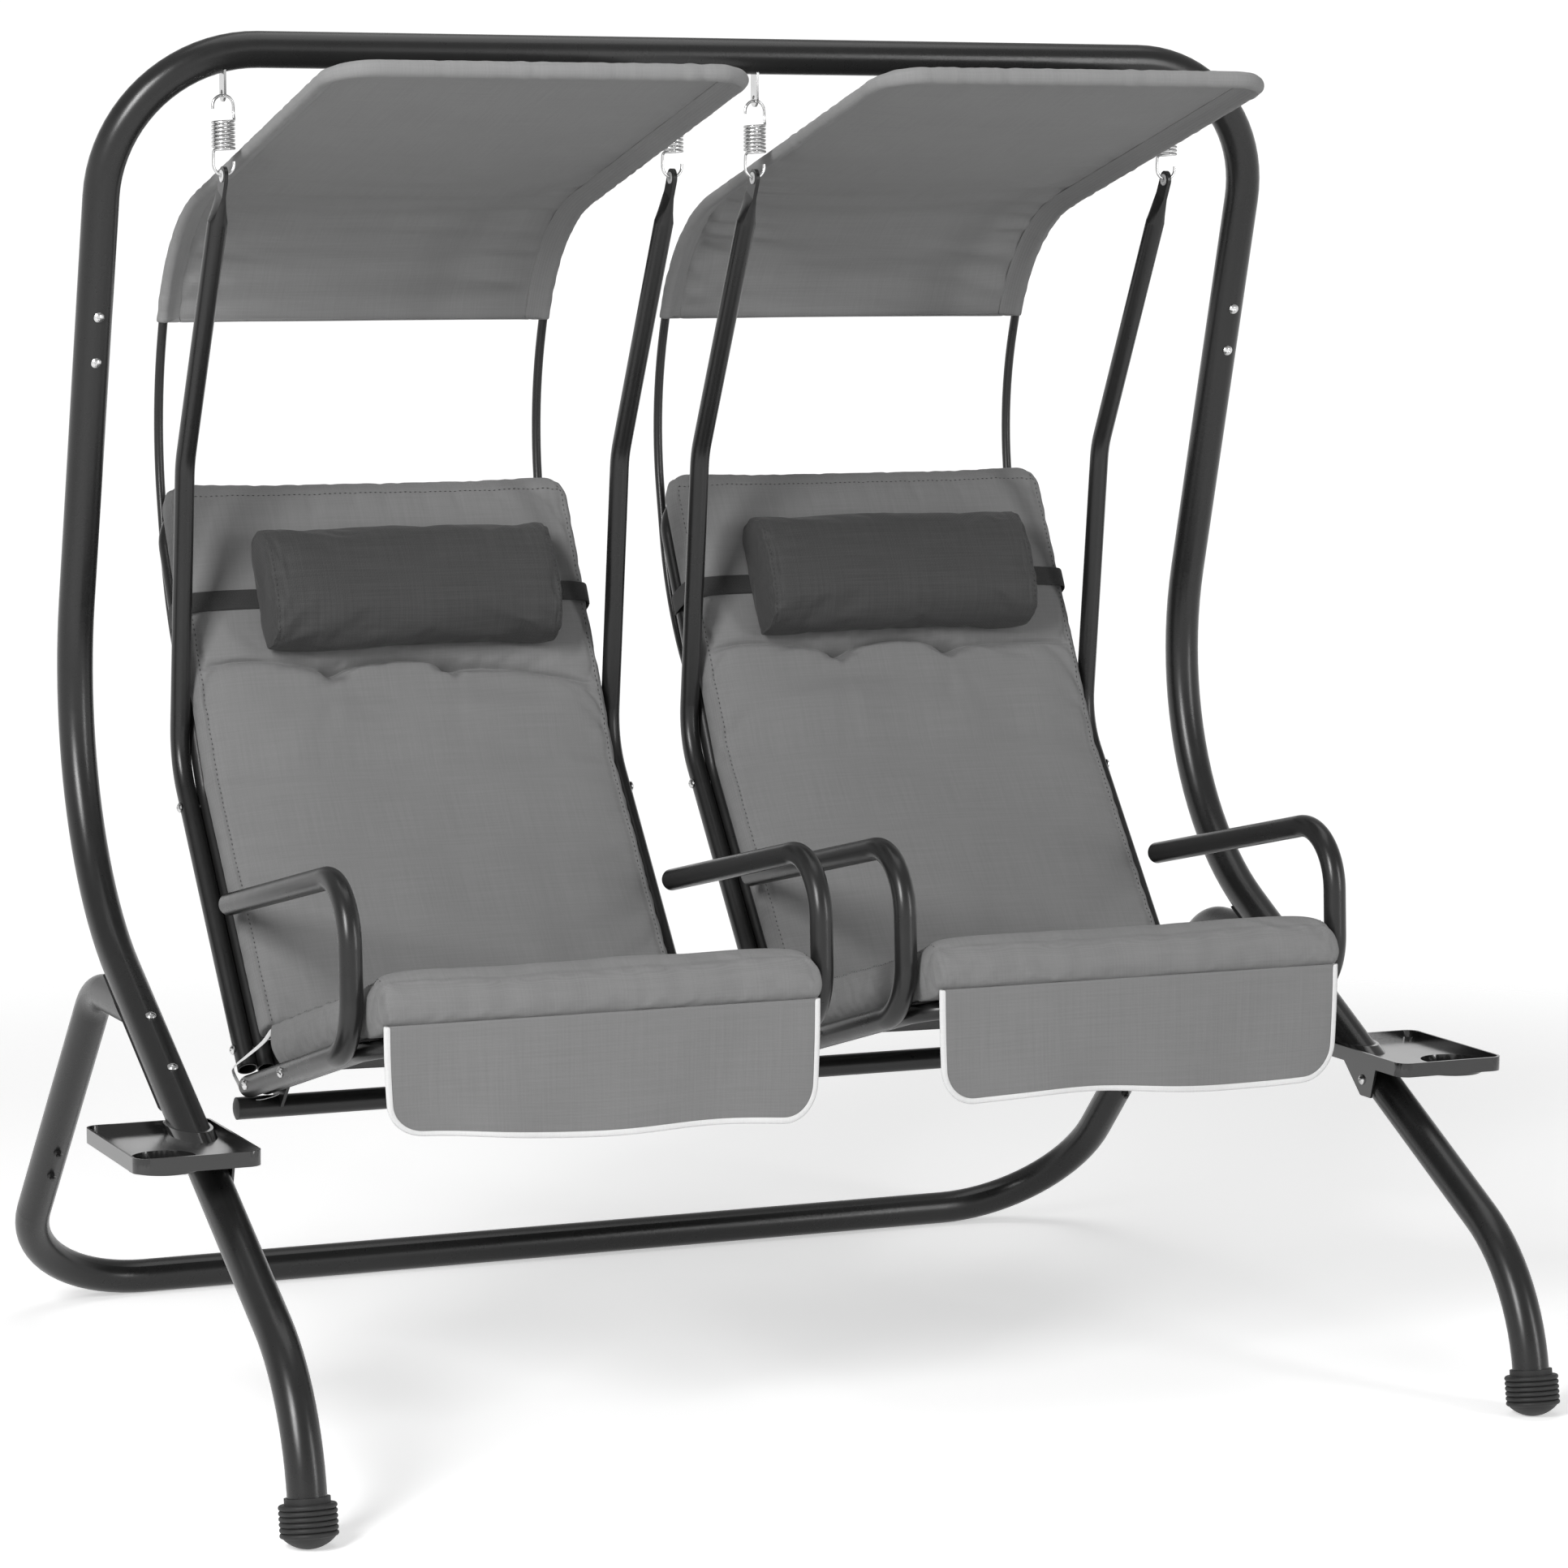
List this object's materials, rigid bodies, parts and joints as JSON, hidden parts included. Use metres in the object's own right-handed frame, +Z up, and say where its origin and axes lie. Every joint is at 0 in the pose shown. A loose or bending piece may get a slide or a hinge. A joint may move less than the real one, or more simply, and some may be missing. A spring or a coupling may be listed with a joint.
{
  "type": "canopy swing seat",
  "caption": "Side-by-side hanging lounge seats with canopies, armrests and bolsters on springs under a bent steel tube stand with side trays.",
  "frame": {"origin": "on the floor, midway between the seats and midway between the front feet and the rear bar", "axes": "+X to the right seat as seen from the front, +Y from the front feet to the rear bar, +Z up"},
  "size_m": [1.8, 1.3864, 1.6841],
  "materials": {
    "stand_paint": "charcoal satin powder coat",
    "seat_paint": "charcoal satin powder coat",
    "foot_rubber": "matt black ribbed",
    "tray_plastic": "glossy black moulding",
    "zinc": "bright zinc plated steel",
    "bush_nylon": "natural nylon",
    "plug_plastic": "black plastic",
    "sling_cloth": "dark woven cloth",
    "canopy_cloth": "mid-grey plain weave",
    "cushion_cloth": "mid-grey plain weave",
    "headrest_cloth": "dark grey mesh weave",
    "strap_webbing": "dark grey webbing",
    "binding_tape": "white cloth tape"
  },
  "bodies": {
    "frame": {"top_frame_tube": "stand_paint", "side_tube_left": "stand_paint", "side_tube_right": "stand_paint", "rear_base_tube": "stand_paint", "knee_tube_left": "stand_paint", "knee_tube_right": "stand_paint", "saddle_left": "stand_paint", "saddle_right": "stand_paint", "foot_cap_left": "foot_rubber", "foot_cap_right": "foot_rubber", "tray_left": "tray_plastic", "tray_right": "tray_plastic", "spring_brackets": "zinc", "joint_bolts": "zinc", "leg_bolts": "stand_paint"},
    "left_springs": {"left_springs": "zinc"},
    "left_bushes": {"left_eyelet_bushes": "bush_nylon"},
    "left_seat": {"left_hanger_outer": "seat_paint", "left_hanger_inner": "seat_paint", "left_arm_outer": "seat_paint", "left_arm_inner": "seat_paint", "left_tube_plugs": "plug_plastic", "left_back_frame": "seat_paint", "left_seat_frame": "seat_paint", "left_rear_crossbar": "seat_paint", "left_back_sling": "sling_cloth", "left_seat_sling": "sling_cloth", "left_canopy_frame": "seat_paint", "left_canopy": "canopy_cloth", "left_back_cushion": "cushion_cloth", "left_seat_cushion": "cushion_cloth", "left_cushion_ties": "binding_tape", "left_seat_bolts": "zinc"},
    "left_headrest": {"left_headrest": "headrest_cloth", "left_headrest_strap": "strap_webbing"},
    "left_flap": {"left_flap": "cushion_cloth", "left_flap_binding": "binding_tape"},
    "right_springs": {"right_springs": "zinc"},
    "right_bushes": {"right_eyelet_bushes": "bush_nylon"},
    "right_seat": {"right_hanger_outer": "seat_paint", "right_hanger_inner": "seat_paint", "right_arm_outer": "seat_paint", "right_arm_inner": "seat_paint", "right_tube_plugs": "plug_plastic", "right_back_frame": "seat_paint", "right_seat_frame": "seat_paint", "right_rear_crossbar": "seat_paint", "right_back_sling": "sling_cloth", "right_seat_sling": "sling_cloth", "right_canopy_frame": "seat_paint", "right_canopy": "canopy_cloth", "right_back_cushion": "cushion_cloth", "right_seat_cushion": "cushion_cloth", "right_cushion_ties": "binding_tape", "right_seat_bolts": "zinc"},
    "right_headrest": {"right_headrest": "headrest_cloth", "right_headrest_strap": "strap_webbing"},
    "right_flap": {"right_flap": "cushion_cloth", "right_flap_binding": "binding_tape"}
  },
  "joints": [
    {"name": "left_swing", "type": "hinge", "parent": "frame", "child": "left_springs", "pos_m": [-0.35, 0.0787, 1.60825], "axis": [1, 0, 0], "range_deg": [-20, 20]},
    {"name": "left_bounce", "type": "slide", "parent": "left_springs", "child": "left_bushes", "axis": [0, 0, -1], "range_m": [0, 0.03], "stiffness_N_per_m": 8000, "springref_m": -0.03, "deforming": ["left_springs"]},
    {"name": "left_rock", "type": "hinge", "parent": "left_bushes", "child": "left_seat", "pos_m": [-0.35, 0.0787, 1.50857], "axis": [1, 0, 0], "range_deg": [-8, 8]},
    {"name": "left_headrest_slide", "type": "slide", "parent": "left_seat", "child": "left_headrest", "axis": [0, 0.4673, 0.8841], "range_m": [-0.04, 0.04]},
    {"name": "left_flap_swing", "type": "hinge", "parent": "left_seat", "child": "left_flap", "pos_m": [-0.35, -0.44679, 0.53941], "axis": [-1, 0, 0], "range_deg": [-8, 45]},
    {"name": "right_swing", "type": "hinge", "parent": "frame", "child": "right_springs", "pos_m": [0.35, 0.0787, 1.60825], "axis": [1, 0, 0], "range_deg": [-20, 20]},
    {"name": "right_bounce", "type": "slide", "parent": "right_springs", "child": "right_bushes", "axis": [0, 0, -1], "range_m": [0, 0.03], "stiffness_N_per_m": 8000, "springref_m": -0.03, "deforming": ["right_springs"]},
    {"name": "right_rock", "type": "hinge", "parent": "right_bushes", "child": "right_seat", "pos_m": [0.35, 0.0787, 1.50857], "axis": [1, 0, 0], "range_deg": [-8, 8]},
    {"name": "right_headrest_slide", "type": "slide", "parent": "right_seat", "child": "right_headrest", "axis": [0, 0.4673, 0.8841], "range_m": [-0.04, 0.04]},
    {"name": "right_flap_swing", "type": "hinge", "parent": "right_seat", "child": "right_flap", "pos_m": [0.35, -0.44679, 0.53941], "axis": [-1, 0, 0], "range_deg": [-8, 45]}
  ]
}
